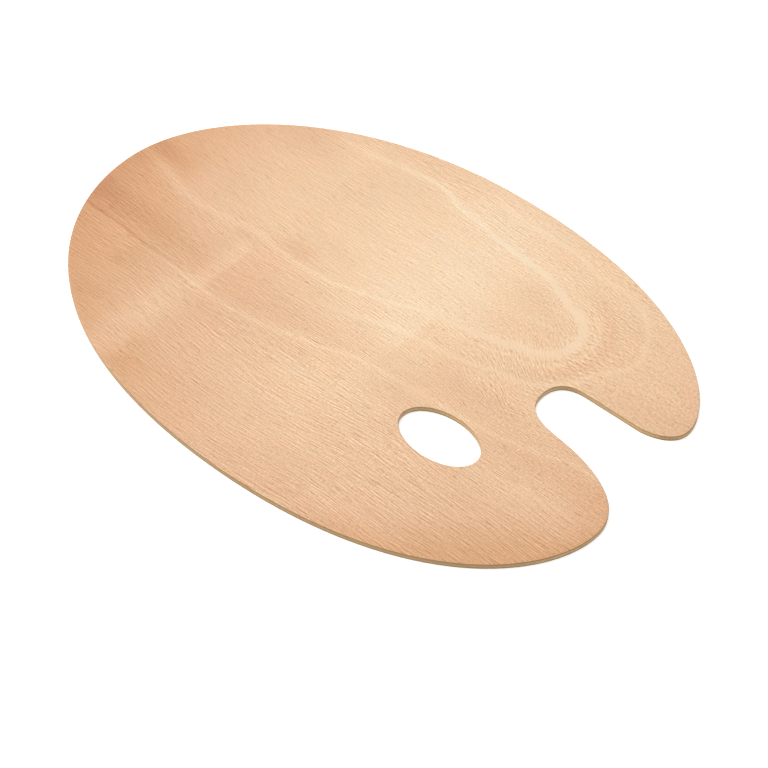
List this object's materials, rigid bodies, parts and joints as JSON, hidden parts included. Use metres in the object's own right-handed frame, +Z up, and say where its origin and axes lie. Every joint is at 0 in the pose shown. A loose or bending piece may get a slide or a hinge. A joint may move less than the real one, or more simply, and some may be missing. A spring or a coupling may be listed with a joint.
{
  "type": "mixing palette",
  "caption": "Oval plywood mixing palette with an oval thumb hole and an open finger notch at one end, for holding and mixing paint.",
  "frame": {"origin": "on the back face, under the middle of the board's overall length and width", "axes": "+X along the length and the face grain, towards the finger notch; +Y across the width, from the thumb hole's side; +Z up, out of the mixing face"},
  "size_m": [0.3, 0.207, 0.0026],
  "materials": {
    "face_veneer": "sanded light red-brown hardwood veneer, grain along X, satin oiled",
    "core": "sawn edge of cross-grained core veneer, matte",
    "back_veneer": "sanded hardwood veneer, grain along X, matte",
    "glue": "cured brown resin glue film, seen only as a line on the edge"
  },
  "bodies": {
    "root": {"back_veneer": "back_veneer", "glue_line_lower": "glue", "core_ply": "core", "glue_line_upper": "glue", "face_veneer": "face_veneer"}
  },
  "joints": []
}
